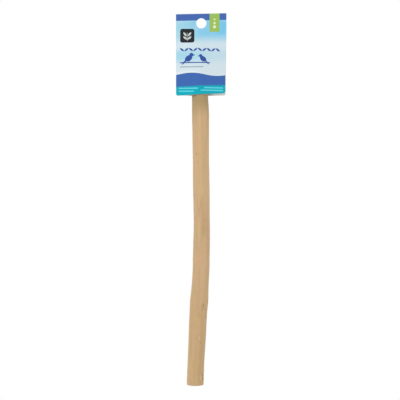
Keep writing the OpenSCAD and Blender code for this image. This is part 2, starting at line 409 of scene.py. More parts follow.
class BranchShape:
    """Centre and radius of the CAD branch at any height, fitted to its rings."""

    def __init__(self, node):
        co = np.array([v.co for v in node.data.vertices], float) / MM
        self.top, self.foot = co[:, 2].max(), co[:, 2].min()
        high, low = self.top - RIM_EASE + RIM_LEVEL, self.foot + RIM_EASE - RIM_LEVEL
        rows = []
        for z in np.unique(np.round(co[:, 2], 3)):
            ring = np.unique(np.round(co[np.abs(co[:, 2] - z) < RING_LEVEL][:, :2], 3), axis=0)
            if low <= z <= high and len(ring) >= RING_POINTS:
                rows.append([z, *self.fitted(ring)])
        rows = np.array(rows)[::-1]
        self.z, self.values = rows[:, 0], rows[:, 1:]

    def fitted(self, ring):
        """Centre x, centre y and the radius series of one ring."""
        centre = np.linalg.lstsq(np.c_[2 * ring, np.ones(len(ring))], (ring**2).sum(1), rcond=None)[0][:2]
        off = ring - centre
        r = np.hypot(off[:, 0], off[:, 1])
        skin = r > SKIN_SHARE * r.max()
        angle = np.arctan2(off[skin, 0], -off[skin, 1])
        return [*centre, *np.linalg.lstsq(self.basis(angle), r[skin], rcond=None)[0]]

    @staticmethod
    def basis(angle):
        """Angle from the front towards the right, in radians."""
        terms = [np.ones_like(angle)]
        for h in range(1, HARMONICS + 1):
            terms += [np.cos(h * angle), np.sin(h * angle)]
        return np.stack(terms, -1)

    def at(self, z):
        """Centre x, centre y and the radius series at each height, on a smooth curve through the rings."""
        z = np.clip(z, self.z[-1], self.z[0])
        i = np.clip(np.searchsorted(-self.z, -z, side="right") - 1, 0, len(self.z) - 2)
        slopes = np.gradient(self.values, self.z, axis=0)
        span = (self.z[i + 1] - self.z[i])[:, None]
        s = (z - self.z[i])[:, None] / span
        return (
            self.values[i] * (2 * s**3 - 3 * s**2 + 1)
            + self.values[i + 1] * (3 * s**2 - 2 * s**3)
            + slopes[i] * span * (s**3 - 2 * s**2 + s)
            + slopes[i + 1] * span * (s**3 - s**2)
        )


def fbm(x, y, z, octaves):
    """Smooth noise from -1 to 1 at each point of three equal arrays."""
    flat = np.stack([np.ravel(x), np.ravel(y), np.ravel(z)], -1)
    values = [noise.fractal(Vector(p), 1.0, 2.0, octaves) for p in flat]
    return np.array(values).reshape(np.shape(x))


# Marks on the branch, which stand for knots, scars, stains and cracks: kind, drop below the hang hole,
# angle from the front towards the right, half height, half angle, and strength
MARKS = [
    ("pit", 130.6, -31, 1.9, 11, 0.53),
    ("groove", 138.4, -22, 0.6, 16, 0.58),
    ("pit", 87.5, 84, 2.0, 12, 0.7),
    ("pit", 90.5, -86, 2.6, 10, 0.6),
    ("pit", 156.6, 86, 1.6, 9, 0.5),
    # This stain is painted shade: the card's shadow on the left, just below its foot
    ("stain", 90.0, -58, 16.0, 26, 0.5),
    ("amber", 123.0, -10, 30.0, 38, 0.2),
    ("light", 160.0, 48, 32.0, 22, 0.3),
    ("light", 167.6, 5, 7.0, 18, 0.2),
    ("amber", 178.0, -14, 3.4, 4, 0.7),
    ("stain", 199.0, 28, 14.0, 26, 0.55),
    ("olive", 207.5, 10, 5.0, 14, 0.9),
    ("pit", 281.6, 31, 2.2, 5, 0.85),
    ("pit", 284.8, 24, 1.2, 6, 0.55),
    ("scar", 277.6, 70, 2.8, 6, 0.7),
    ("pit", 285.4, 55, 1.5, 6, 0.7),
    ("pit", 293.1, 58, 1.7, 5, 0.7),
    ("olive", 290.0, 4, 3.2, 10, 0.9),
    ("pit", 313.4, -5, 1.1, 7, 0.55),
    ("light", 313.4, 12, 1.1, 5, 0.8),
    ("pit", 318.1, 26, 1.6, 6, 0.65),
    ("crack", 330.0, -5, 7.0, 2.2, 0.6),
    ("crack", 331.0, 12, 5.0, 1.8, 0.35),
    ("light", 353.0, 40, 2.8, 4, 0.9),
    ("scar", 350.6, 56, 2.2, 5, 0.75),
    ("scar", 354.8, 60, 2.0, 6, 0.65),
    ("knot", 112.0, 168, 2.4, 17, 1.0),
    ("stain", 124.0, 178, 12.0, 24, 0.5),
    ("crack", 168.0, -150, 11.0, 1.8, 0.8),
    ("knot", 186.4, 150, 2.8, 19, 1.0),
    ("olive", 196.0, 165, 6.0, 15, 0.7),
    ("knot", 236.0, -120, 2.2, 15, 0.9),
    ("pit", 243.0, -102, 1.3, 9, 0.8),
    ("stain", 262.0, -165, 9.0, 28, 0.5),
    ("groove", 271.0, 160, 0.6, 18, 0.7),
    ("knot", 321.6, 170, 2.5, 17, 1.0),
    ("pit", 333.0, -112, 1.5, 10, 0.7),
    ("scar", 344.0, -140, 4.0, 10, 0.8),
]
# Darkness and depth of the hollow kinds of mark at full strength, and the lift of a tinted one
HOLLOWS = {"pit": (0.8, 0.26), "groove": (0.7, 0.18), "crack": (0.75, 0.3), "scar": (0.85, 0.35)}
TINT_LIFT = 0.08
# A mark is worked out this many of its half sizes to each side
MARK_REACH = 4
# How far the grain parts round a knot or a pit, in half sizes of the mark, and how strongly
PARTED_REACH = 2.6
PARTED_SPREAD = 1.9
PARTED_SHARE = 0.85


def signed_turn(angle, start):
    """The turn in degrees from a start angle to each angle, from -180 to 180."""
    return (angle - start + 180) % 360 - 180


def grain_angle(drop, angle):
    """The angle with the grain parted round each knot and pit, so that streaks flow round it."""
    parted = angle.copy()
    for kind, at, turn, reach, spread, strength in MARKS:
        if kind in ("knot", "pit"):
            off = signed_turn(angle, turn)
            q = ((drop - at) / (PARTED_REACH * reach)) ** 2 + (off / (PARTED_SPREAD * spread)) ** 2
            parted -= off * PARTED_SHARE * strength * np.exp(-q)
    return parted


def ring_profile(r, middle, width):
    """A soft ring, or a soft spot where its middle is zero."""
    return np.exp(-(((r - middle) / width) ** 2))


def mark_profile(kind, dz, da):
    """How much of a mark shows at shares of its half height and half angle."""
    if kind == "crack":
        return np.exp(-(da**2) * 1.6 - dz**4)
    if kind == "scar":
        return np.exp(-(da**2) - dz**4)
    return np.exp(-(dz**2 + da**2))


def mark_fields(drop, angle):
    """How strongly each kind of mark shows at each point, and how far it lifts the surface."""
    kinds = {k: np.zeros_like(drop) for k in ("dark", *TINTS)}
    lift = np.zeros_like(drop)
    for kind, at, turn, reach, spread, strength in MARKS:
        dz = (drop - at) / reach
        da = signed_turn(angle, turn) / spread
        near = (np.abs(dz) < MARK_REACH) & (np.abs(da) < MARK_REACH)
        dz, da = dz[near], da[near]
        shown = strength * mark_profile(kind, dz, da)
        if kind == "knot":
            r = np.hypot(dz, da)
            core = ring_profile(r, 0, 0.6)
            kinds["dark"][near] += strength * (0.85 * core + 0.22 * ring_profile(r, 1.15, 0.25))
            kinds["stain"][near] += strength * 0.5 * ring_profile(r, 0, 2)
            lift[near] += strength * (0.28 * ring_profile(r, 1.1, 0.5) - 0.30 * core)
        elif kind in HOLLOWS:
            dark, depth = HOLLOWS[kind]
            kinds["dark"][near] += dark * shown
            lift[near] -= depth * shown
        else:
            kinds[kind][near] += shown
            if kind != "stain":
                lift[near] += TINT_LIFT * shown
    return {k: np.clip(v, 0, 1) for k, v in kinds.items()}, lift


def skin_relief(z, angle):
    """Height of the worked skin over the CAD surface, from noises drawn out along the branch."""
    around = np.radians(angle)
    twist = around + GRAIN_TWIST * z
    ridges = fbm(4.5 * np.sin(twist), 4.5 * np.cos(twist), z * 0.035, 4)
    lumps = fbm(1.2 * np.sin(around) + 7, -1.2 * np.cos(around), z * 0.05, 2)
    fibres = fbm(13 * np.sin(twist), 13 * np.cos(twist), z * 0.16 + 3, 2)
    bare = COVERED_SHARE + (1 - COVERED_SHARE) * smoothstep(CARD_DROP + 1, CARD_DROP + 9, -z)
    lift = mark_fields(-z, angle)[1]
    return (RIDGES * ridges + LUMPS * lumps + FIBRES * fibres) * bare - SKIN_SUNK + lift


def close_end(points, faces, first, centre, sign):
    """Closes the ring of points from the first with saw-marked rings. Sign is 1 for the upper end."""
    rim, level = points[first : first + SIDES], points[first][2]
    ring = list(range(first, first + SIDES))
    for share in END_SHARES:
        inner = list(range(len(points), len(points) + SIDES))
        for rim_x, rim_y, _ in rim:
            x = centre[0] + (rim_x - centre[0]) * share
            y = centre[1] + (rim_y - centre[1]) * share
            saw = SAW_MARKS * noise.noise(Vector((x * 0.25, y * 2.6, sign * 5)))
            points.append((x, y, level - sign * (END_SUNK + saw)))
        for k in range(SIDES):
            quad = (ring[k], ring[(k + 1) % SIDES], inner[(k + 1) % SIDES], inner[k])
            faces.append(quad[::sign])
        ring = inner
    points.append((centre[0], centre[1], level - sign * END_SUNK))
    for k in range(SIDES):
        faces.append((ring[k], ring[(k + 1) % SIDES], len(points) - 1)[::sign])


def branch_mesh(shape):
    """The fine tube with its relief, its rounded rims and its sawn end faces."""
    inner = np.arange(shape.foot + RIM_EASE, shape.top - RIM_EASE, ROW_STEP)[::-1]
    drop, drawn_in = RIM_EASE * (1 - np.cos(RIM_TURNS)), RIM_EASE * (1 - np.sin(RIM_TURNS))
    z = np.concatenate([shape.top - drop, inner, shape.foot + drop[::-1]])
    shrink = np.concatenate([drawn_in, inner * 0, drawn_in[::-1]])
    angle = np.arange(SIDES) * 360 / SIDES
    values = shape.at(z)
    radius = values[:, 2:] @ BranchShape.basis(np.radians(angle)).T
    grid_z, grid_a = np.meshgrid(z, angle, indexing="ij")
    around = np.radians(grid_a)
    r = radius - shrink[:, None] + skin_relief(grid_z, grid_a)
    grid = [values[:, :1] + r * np.sin(around), values[:, 1:2] - r * np.cos(around), grid_z]
    points = list(map(tuple, np.stack(grid, -1).reshape(-1, 3)))
    faces = []
    for i in range(len(z) - 1):
        for k in range(SIDES):
            a, b = i * SIDES + k, i * SIDES + (k + 1) % SIDES
            faces.append((a, a + SIDES, b + SIDES, b))
    close_end(points, faces, 0, values[0, :2], 1)
    close_end(points, faces, (len(z) - 1) * SIDES, values[-1, :2], -1)
    return mesh_from("branch", points, faces)


def slot_tool(x, y, z, sign, material):
    """A routed slot right across an end: straight walls and a round bottom, with tool marks.

    Sign is 1 where it opens upwards and -1 where it opens downwards."""
    half = SLOT_W / 2
    wall = np.linspace(SLOT_DEEP - half + TOOL_START, 0, TOOL_ROWS)[:-1]
    arc = [math.radians(a) for a in range(0, 181, TOOL_TURN)]
    outline = [(-half, up) for up in wall]
    outline += [(-half * math.cos(a), -half * math.sin(a)) for a in arc]
    outline += [(half, up) for up in wall[::-1]]
    points, faces = [], []
    for i in range(TOOL_COLUMNS):
        along = -TOOL_REACH + 2 * TOOL_REACH * i / (TOOL_COLUMNS - 1)
        for across, up in outline:
            wear = TOOL_MARKS * noise.noise(Vector((along * 0.9, across * 1.5, up * 0.4 + sign * 3)))
            points.append((x + along, y + across * (1 + wear), z + sign * up * (1 + 0.5 * wear)))
    n = len(outline)
    for i in range(TOOL_COLUMNS - 1):
        for j in range(n):
            a, b = i * n + j, i * n + (j + 1) % n
            faces.append((a, b, b + n, a + n))
    faces.append(tuple(range(n))[::-1])
    faces.append(tuple((TOOL_COLUMNS - 1) * n + j for j in range(n)))
    mesh = mesh_from("slot_tool", points, faces)
    bm = bmesh.new()
    bm.from_mesh(mesh)
    bmesh.ops.recalc_face_normals(bm, faces=bm.faces)
    bm.to_mesh(mesh)
    bm.free()
    mesh.materials.append(material)
    return new_object("slot_tool", mesh)


WOOD_PALE = linear(212, 179, 137)
WOOD_DEEP = linear(199, 165, 123)
WOOD_YELLOW = linear(206, 176, 124)
WOOD_PINK = linear(209, 168, 132)
WOOD_BROWN = linear(180, 142, 100)
# Painted shade: the card's shadow on the wood, and the darker lower end
WOOD_CARD_SHADOW = linear(170, 147, 104)
WOOD_LOWER_SHADE = linear(178, 148, 94)
MARK_DARK = linear(110, 72, 44)
MARK_LIGHT = linear(224, 203, 158)
END_PALE = linear(214, 180, 136)
END_RING = linear(170, 128, 84)
END_PORE = linear(150, 108, 68)
END_PITH = linear(120, 82, 50)
ROUTED_PALE = linear(204, 168, 122)
ROUTED_DEEP = linear(178, 138, 94)
ROUTED_BURNT = linear(118, 82, 52)
# Colour and share of each tint where it is strongest
TINTS = {
    "amber": (linear(212, 162, 100), 0.8),
    "stain": (linear(186, 152, 108), 0.8),
    "olive": (linear(180, 158, 112), 0.75),
    "light": (MARK_LIGHT, 0.8),
}

# Heights between which the skin's painted shade changes: darker towards the lower end, a painted shadow
# of the card from above its foot to below it, and more painted shade there on the left
LOWER_SHADE_HEIGHTS = (-225.0, -345.0)
CARD_SHADOW_TOP = (-56.0, -70.0)
CARD_SHADOW_FOOT = (-97.0, -77.0)
LEFT_SHADE_HEIGHTS = (-115.0, -85.0)
# Place of the pith from the middle of a sawn end, and how far the rings' wave turns in a millimetre
PITH = (-0.9, 0.6)
RING_TURN = 5.2


def wood_tone(s, grain):
    """Colour of the bare wood along the grain, before any marks, and its thin streaks."""
    long_streak = s.noise(s.scaled(grain, (0.42, 0.42, 0.012)), 1.0, 4, 0.55, 0.4)
    thin_streak = s.noise(s.scaled(grain, (2.4, 2.4, 0.05), (9, 4, 2)), 1.0, 4, 0.6)
    blotch = s.noise(s.scaled(grain, (0.12, 0.12, 0.035), (3, 8, 5)), 1.0, 4, 0.55, 0.8)
    hue = s.noise(s.scaled(grain, (0.16, 0.16, 0.045), (21, 3, 9)), 1.0, 3, 0.5, 0.5)
    tone = s.mix(s.ramp(long_streak, 0.3, 0.7), WOOD_DEEP, WOOD_PALE)
    tone = s.mix(s.ramp(hue, 0.5, 0.68, 0, 0.6), tone, WOOD_YELLOW)
    tone = s.mix(s.ramp(hue, 0.48, 0.32, 0, 0.6), tone, WOOD_PINK)
    tone = s.mix(s.ramp(blotch, 0.54, 0.8, 0, 0.42), tone, WOOD_BROWN)
    tone = s.mix(s.ramp(thin_streak, 0.56, 0.78, 0, 0.3), tone, WOOD_BROWN)
    return s.mix(s.ramp(thin_streak, 0.42, 0.24, 0, 0.35), tone, MARK_LIGHT), thin_streak


def painted_shading(s, tone, side, z):
    """Darkens the lower end, most on the right as painted shade, and paints the card's shadow round its
    foot, more on the left.
    """
    # Darker towards the lower end, with painted shade growing towards the right side
    lower_shade = s.times(s.ramp(z, *LOWER_SHADE_HEIGHTS), s.ramp(side, -7.0, 7.0, 0.1, 0.42))
    tone = s.mix(lower_shade, tone, WOOD_LOWER_SHADE)
    # Painted shadow of the card on the wood round its foot
    shade = s.times(s.ramp(z, *CARD_SHADOW_FOOT), s.ramp(z, *CARD_SHADOW_TOP))
    tone = s.mix(s.times(shade, 0.95), tone, WOOD_CARD_SHADOW)
    # More painted shade of the card on the left, just below its foot, in the dark marks' colour
    left_shade = s.times(s.ramp(z, *LEFT_SHADE_HEIGHTS), s.ramp(side, 0.0, -8.0, 0, 0.14))
    return s.mix(left_shade, tone, MARK_DARK)


def marked(s, tone, grain):
    """Adds the listed marks, with ragged edges."""
    break_up = s.noise(s.scaled(grain, (2.0, 2.0, 0.8)), 1.0, 5, 0.7)
    ragged = s.ramp(break_up, 0.3, 0.62, 0.5, 1.15)
    for name, (colour, share) in TINTS.items():
        field = s.attribute("mark_" + name)
        tone = s.mix(s.times(s.times(field, ragged, clamp=True), share), tone, colour)
    field = s.attribute("mark_dark")
    tone = s.mix(s.times(field, 0.55, clamp=True), tone, WOOD_BROWN)
    core = s.times(field, s.ramp(break_up, 0.3, 0.6, 0.72, 1.3))
    return s.mix(s.ramp(core, 0.26, 0.8, 0, 0.85), tone, MARK_DARK)


def skin_material():
    """Peeled and sanded sapwood: long soft streaks, fine fibres, short pores and the listed marks."""
    s = Shader("branch_skin")
    grain = s.attribute("grain", "Vector")
    side, _, z = s.split(grain)
    tone, thin = wood_tone(s, grain)
    fibres = s.noise(s.scaled(grain, (5.5, 5.5, 0.11)), 1.0, 5, 0.7, 0.3)
    hairs = s.noise(s.scaled(grain, (11.0, 11.0, 0.3), (6, 1, 8)), 1.0, 3, 0.6, 0.5)
    pores = s.noise(s.scaled(grain, (6.0, 6.0, 0.45), (1, 2, 3)), 1.0, 3, 0.55)
    dashes = s.ramp(pores, 0.64, 0.72)
    tone = s.mix(s.ramp(fibres, 0.54, 0.72, 0, 0.34), tone, WOOD_BROWN)
    tone = s.mix(s.ramp(fibres, 0.44, 0.28, 0, 0.3), tone, MARK_LIGHT)
    tone = s.mix(s.ramp(hairs, 0.6, 0.72, 0, 0.3), tone, WOOD_BROWN)
    tone = s.mix(s.times(dashes, 0.6), tone, MARK_DARK)
    tone = marked(s, painted_shading(s, tone, side, z), grain)
    height = s.plus(s.times(fibres, 0.8), s.times(thin, 0.5))
    height = s.plus(height, s.times(hairs, 0.3))
    height = s.minus(height, s.times(dashes, 0.5))
    normal = s.bump(height, 0.75, 0.12)
    rough = s.ramp(thin, 0.3, 0.7, 0.54, 0.7)
    return s.finish(tone, rough, normal, Specular_IOR_Level=0.3, Sheen_Weight=0.16, Sheen_Roughness=0.45)


def end_material():
    """End grain: growth rings round an off-centre pith, pores and fine saw marks."""
    s = Shader("branch_end")
    grain = s.attribute("section", "Vector")
    wobble = s.noise(s.scaled(grain, (0.35, 0.35, 0.05)), 1.0, 2)
    from_pith = s.length(s.scaled(grain, (1, 1, 0), (-PITH[0], -PITH[1], 0)))
    radial = s.plus(from_pith, s.times(wobble, 1.6))
    rings = s.math("SINE", s.times(radial, RING_TURN))
    tone = s.mix(s.ramp(rings, -0.4, 1.0, 0, 0.65), END_PALE, END_RING)
    tone = s.mix(s.times(s.ramp(from_pith, 1.3, 0.5), 0.8), tone, END_PITH)
    pores = s.noise(s.scaled(grain, (6, 6, 1)), 1.0, 2)
    tone = s.mix(s.ramp(pores, 0.6, 0.75, 0, 0.5), tone, END_PORE)
    saw = s.noise(s.scaled(grain, (0.5, 7, 1)), 1.0, 3)
    normal = s.bump(s.plus(saw, s.times(pores, 0.6)), 0.7, 0.12)
    return s.finish(tone, 0.78, normal, Specular_IOR_Level=0.25)


def slot_material():
    """Routed walls: pale fresh wood with cross marks from the cutter and a few burnt streaks."""
    s = Shader("slot_wall")
    place = s.coordinates()
    fibre = s.noise(s.scaled(place, (3.5, 3.5, 0.12)), 1.0, 3)
    chatter = s.noise(s.scaled(place, (2.6, 0.6, 0.5)), 1.0, 3)
    burnt = s.noise(s.scaled(place, (0.5, 0.5, 0.4), (5, 2, 1)), 1.0, 2)
    tone = s.mix(fibre, ROUTED_PALE, ROUTED_DEEP)
    tone = s.mix(s.ramp(burnt, 0.6, 0.75, 0, 0.45), tone, ROUTED_BURNT)
    normal = s.bump(s.plus(chatter, fibre), 0.7, 0.12)
    return s.finish(tone, 0.8, normal, Specular_IOR_Level=0.25)


def store(mesh, name, kind, values):
    a = mesh.attributes.new(name, kind, "POINT")
    a.data.foreach_set("vector" if kind == "FLOAT_VECTOR" else "value", np.ravel(values).astype(np.float32))


def store_fields(mesh, shape):
    """Writes the grain, the cross-section and the marks on the mesh's points, for the materials."""
    co = np.zeros(len(mesh.vertices) * 3)
    mesh.vertices.foreach_get("co", co)
    co = co.reshape(-1, 3) / MM
    off = co[:, :2] - shape.at(co[:, 2])[:, :2]
    drop, angle = -co[:, 2], np.degrees(np.arctan2(off[:, 0], -off[:, 1]))
    parted = np.radians(grain_angle(drop, angle))
    grain = [GRAIN_R * np.sin(parted), GRAIN_R * np.cos(parted), co[:, 2]]
    store(mesh, "grain", "FLOAT_VECTOR", np.stack(grain, -1))
    store(mesh, "section", "FLOAT_VECTOR", np.c_[off, co[:, 2]])
    for kind, values in mark_fields(drop, angle)[0].items():
        store(mesh, "mark_" + kind, "FLOAT", values)


def add_branch():
    shape = BranchShape(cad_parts["perch_wood"])
    branch = new_object("branch", branch_mesh(shape))
    skin, end, slot = skin_material(), end_material(), slot_material()
    for material in (skin, end, slot):
        branch.data.materials.append(material)
    for sign, tip in ((1, shape.top), (-1, shape.foot)):
        x, y = shape.at(np.array([tip]))[0, :2]
        cut(branch, slot_tool(x, y, tip - sign * SLOT_DEEP + sign * SLOT_W / 2, sign, slot))
    mesh = branch.data
    fan_out(mesh)
    store_fields(mesh, shape)
    slot_index = [m.name for m in mesh.materials].index(slot.name)
    for face in mesh.polygons:
        z = face.center[2] / MM
        at_end = z > shape.top - SAWN_REACH or z < shape.foot + SAWN_REACH
        if face.material_index != slot_index:
            face.material_index = 1 if at_end and abs(face.normal[2]) > SAWN_FACING else 0
    smooth_shade(mesh, BRANCH_SHARP)
    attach(branch, "root")
    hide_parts("perch_wood")
    return shape


# The hang card. Lengths in millimetres.

# Waves of the board, which is free away from the branch and below its pressed part
LONG_WAVE = 0.16
SHORT_WAVE = 0.05
FREE_ACROSS = (5, 12)
FREE_BELOW = (2, 14)
# Curl of a corner within its reach, less on the side where the layer stands open
CURL = 0.5
CURL_REACH = 8
OPEN_CURL = 0.4
# How far the right edge is drawn in, and the heights and the places across between which it starts
DRAWN_IN = 0.4
DRAWN_HEIGHTS = (-36, -56)
DRAWN_ACROSS = (6, 24)
# Fineness of the board: steps round a corner, over the width, down each stretch and round the fold, and
# how far under the fold the last row lies
CORNER_STEPS = 8
BOARD_COLUMNS = 62
FREE_ROWS = 28
PRESSED_ROWS = 12
FOLD_STEPS = 12
UNDER_FOLD = 0.01
# Bar that cuts the hang hole
PUNCH_SIDES = 96
PUNCH_LENGTH = 6
# Places of the card's materials in its list
FRONT, BACK, INSIDE, EDGE = range(4)


class Board:
    """Shape of the folded board, as the CAD model has it, with slight waves. Side -1 is the front layer."""

    def __init__(self, shape):
        self.shape = shape
        self.left = -CARD_W / 2 - CARD_LEFT + WOOD_LEFT
        self.right = CARD_W / 2 - CARD_LEFT + WOOD_LEFT
        self.layer_mid = (CARD_T + LAYER_GAP) / 2

    def half_depth(self, z):
        """The branch's radius at its front, which above its upper end stays as it is there."""
        return self.shape.at(np.array([min(z, -WOOD_DROP)]))[0, 2:] @ BranchShape.basis(np.array([0.0]))[0]

    def unevenness(self, side, u, z):
        """How far the waves and the curled corners lift a layer outwards."""
        wave = LONG_WAVE * noise.noise(Vector((u * 0.06, z * 0.05, side * 4)))
        wave += SHORT_WAVE * noise.noise(Vector((u * 0.16, z * 0.14, side * 9)))
        free = smoothstep(*FREE_ACROSS, abs(u)) * smoothstep(*FREE_BELOW, -PRESSED_DROP - z)
        to_corner = math.hypot(min(u - self.left, self.right - u), z + CARD_DROP)
        curl = CURL * smoothstep(CURL_REACH, 0, to_corner)
        return wave * free + curl * (OPEN_CURL if side * u > 0 else 1.0)

    def point(self, side, u, z):
        """Middle of the board's thickness at a height, u along it from the branch's line."""
        stand = (GLUE_T + 2 * SEAT_GAP if side < 0 else 2 * SEAT_GAP) + CARD_T / 2
        r = self.half_depth(z) + stand
        opened = float(smoothstep(0, 1, (-PRESSED_DROP - z) / (WOOD_DROP - PRESSED_DROP)))
        slope = math.radians(opened * (OPEN_SLOPE if side * u > 0 else SHUT_SLOPE))
        turn = min(abs(u) / r, slope)
        wing = max(abs(u) - r * slope, 0)
        middle = self.layer_mid + (r - self.layer_mid) * opened
        x = -WOOD_LEFT + math.copysign(r * math.sin(turn) + wing * math.cos(slope), u)
        x -= DRAWN_IN * smoothstep(*DRAWN_HEIGHTS, z) * smoothstep(*DRAWN_ACROSS, u)
        y = middle - r * (1 - math.cos(turn)) - wing * math.sin(slope)
        return [x, side * (y + self.unevenness(side, u, z)), z]

    def corner_lift(self, u):
        """How far a rounded corner lifts the foot."""
        inset = CORNER_R - min(u - self.left, self.right - u, CORNER_R)
        return CORNER_R - math.sqrt(max(CORNER_R**2 - inset**2, 0))

    def foot(self, u, tilt):
        return -CARD_DROP + (u - WOOD_LEFT) * math.tan(math.radians(tilt)) + self.corner_lift(u)

    def fold(self, u):
        return CARD_RISE + (u - WOOD_LEFT) * FOLD_SLOPE - CARD_T / 2 - self.layer_mid

    def heights(self, u, tilt):
        """Heights from the foot to just under the fold, where the front and the back layer meet."""
        foot, fold = self.foot(u, tilt), self.fold(u)
        rows = list(foot + (-WOOD_DROP - foot) * np.linspace(0, 1, FREE_ROWS, endpoint=False))
        rows += list(np.linspace(-WOOD_DROP, -PRESSED_DROP, FREE_ROWS, endpoint=False))
        rows += list(np.linspace(-PRESSED_DROP, fold, PRESSED_ROWS, endpoint=False))
        return rows + [fold - UNDER_FOLD]

    def column(self, u):
        """Points up the front layer, over the fold and down the back layer."""
        front = [self.point(-1, u, z) for z in self.heights(u, FRONT_TILT)]
        back = [self.point(1, u, z) for z in self.heights(u, BACK_TILT)][::-1]
        arc = []
        for k in range(1, FOLD_STEPS):
            y, rise = -math.cos(math.pi * k / FOLD_STEPS), math.sin(math.pi * k / FOLD_STEPS)
            arc.append([u - WOOD_LEFT, self.layer_mid * y, self.fold(u) + self.layer_mid * rise])
        return front + arc + back


def board_mesh(board):
    """The board as a closed sheet with its own material on the front, the back, the inside and the edges."""
    corner = CORNER_R * (1 - np.cos(np.linspace(0, math.pi / 2, CORNER_STEPS)))[:-1]
    plain = np.linspace(board.left + CORNER_R, board.right - CORNER_R, BOARD_COLUMNS)
    us = np.concatenate([board.left + corner, plain, (board.right - corner)[::-1]])
    mid = np.array([board.column(u) for u in us])
    normal = np.cross(np.gradient(mid, axis=0), np.gradient(mid, axis=1))
    normal /= np.linalg.norm(normal, axis=2)[:, :, None]
    outer, inner = mid + normal * CARD_T / 2, mid - normal * CARD_T / 2
    n, m = mid.shape[:2]
    shift = n * m
    faces, kinds = [], []

    def add(kind, *face):
        faces.append(face[::-1])
        kinds.append(kind)

    for i in range(n - 1):
        for j in range(m - 1):
            a = i * m + j
            add(FRONT if j < m // 2 else BACK, a, a + 1, a + m + 1, a + m)
            b = shift + a
            add(INSIDE, b, b + m, b + m + 1, b + 1)
    for j in range(m - 1):
        a = (n - 1) * m + j
        add(EDGE, j, shift + j, shift + j + 1, j + 1)
        add(EDGE, a, a + 1, shift + a + 1, shift + a)
    for i in range(n - 1):
        a, b = i * m, i * m + m - 1
        add(EDGE, a, a + m, shift + a + m, shift + a)
        add(EDGE, b, shift + b, shift + b + m, b + m)
    mesh = mesh_from("hang_card", np.concatenate([outer.reshape(-1, 3), inner.reshape(-1, 3)]), faces)
    mesh.polygons.foreach_set("material_index", kinds)
    return mesh


BAND_BLUE = linear(71, 106, 178)
WAVE_BLUE = linear(64, 106, 179)
TEAL = linear(6, 173, 191)
SKY_BLUE = linear(166, 216, 235)
SKY_DEEP = linear(116, 199, 236)
SKY_PALE = linear(211, 229, 238)
SKY_GREY = linear(217, 231, 235)
TAB_GREEN = linear(159, 193, 92)
TAB_PALE = linear(222, 238, 196)
TITLE_BLUE = linear(52, 86, 162)
TILE_DARK = linear(36, 42, 45)
TILE_PALE = linear(205, 212, 210)
RULE_GREY = linear(120, 142, 160)
RIPPLE_PALE = linear(128, 236, 246)
WHITE = linear(246, 248, 248)
BOARD_PALE = linear(244, 246, 248)
BOARD_GREY = linear(232, 235, 238)
BOARD_FLECK = linear(186, 180, 168)
# Painted shade on the inside between the layers
BOARD_GAP_SHADE = linear(150, 160, 162)
EDGE_PALE = linear(240, 240, 236)
EDGE_GREY = linear(218, 217, 210)

# Fields of the print: the top band's lower edge, the wave's height, slope, swing, length and phase, and
# the foot band's height and slope
BAND_FOOT = 2.9
WAVE = (-51.66, 0.0, 1.45, 49.0, 2.84)
FOOT_BAND = (-63.5, 0.045)
# Where the sky's changes start and end. Across the card, clouds make them drift.
CLOUD_DRIFT = 14.0
DRIFT_START = 7.0
LEFT_DEEPENS = (-26.0, 0.0)
RIGHT_DEEPENS = (10.0, 24.0)
SKY_PALES = (-9.5, -22.5)
TOP_LIGHTENS = (-0.5, 3.5)
VEIL_STARTS = (-24.0, -31.0)
VEIL_ENDS = (-45.0, -35.0)
VEIL_ACROSS = (18.0, -20.0)
SKY_GREYS = (-34.0, -42.0)
# The glow above the wave, by height over it and across, and the soft upper edge of the foot band
GLOW_RISE = (3.6, 0.4)
GLOW_ACROSS = (1.0, -9.0)
FOOT_SOFT = (1.2, -0.4)
# Painted shade on the inside between the layers, beside the branch: across from the middle, and down towards
# the foot
GAP_SHADE_ACROSS = (15.0, 8.0)
GAP_SHADE_FOOT = (-62.0, -69.0)
# Boxes of the print on the front: left, top, right and lower edge, and the corners' radius
TAB_BOX = (8.3, 12.0, 18.2, -8.5, 0.05)
TILE_BOX = (-21.1, -5.5, -6.9, -19.8, 2.2)
STEM_BOX = (-14.2, -9.2, -13.8, -18.0, 0.2)
BAR_BOX = (-21.4, -39.7, 8.7, -40.7, 0.5)
RULE_BOX = (-21.3, -44.0, 2.0, -44.9, 0.4)
# Radii of the tab's dots, with the place of the first and the step to the next
DOT_RADII = (0.9, 1.25, 1.6)
DOT_PLACE = (13.25, 3.9)
DOT_STEP = 3.7
# Leaves on the tile: length and width, then the place and turn of each
SPRIG_LEAF = (5.2, 2.0)
SPRIG = ((-16.3, -11.0, 128), (-11.7, -11.0, 52), (-16.1, -14.9, 140), (-11.9, -14.9, 40))
# Row of leaves: length and width of one, how many, place of the first, step, and turn to and fro
ROW_LEAF = (5.4, 1.9)
ROW_LEAVES = 9
ROW_PLACE = (-19.2, -27.2)
LEAF_STEP = 4.45
ROW_TURN = 38
# Birds on the bar: place along it, size, and 1 where one looks right
BIRDS = ((-12.6, 9.6, 1), (1.8, 8.2, -1))
BIRD_FOOT = -39.8
# Ripples on the foot band: left end, right end and height of each, then half the line's thickness, and
# its turn in a millimetre and swing
RIPPLES = ((-22.6, -3.4, -65.7), (-22.6, -7.4, -68.6), (2.8, 21.6, -65.0), (-0.6, 21.6, -67.6))
RIPPLE_HALF = 0.48
RIPPLE_TURN = 2.4
RIPPLE_SWING = 0.4


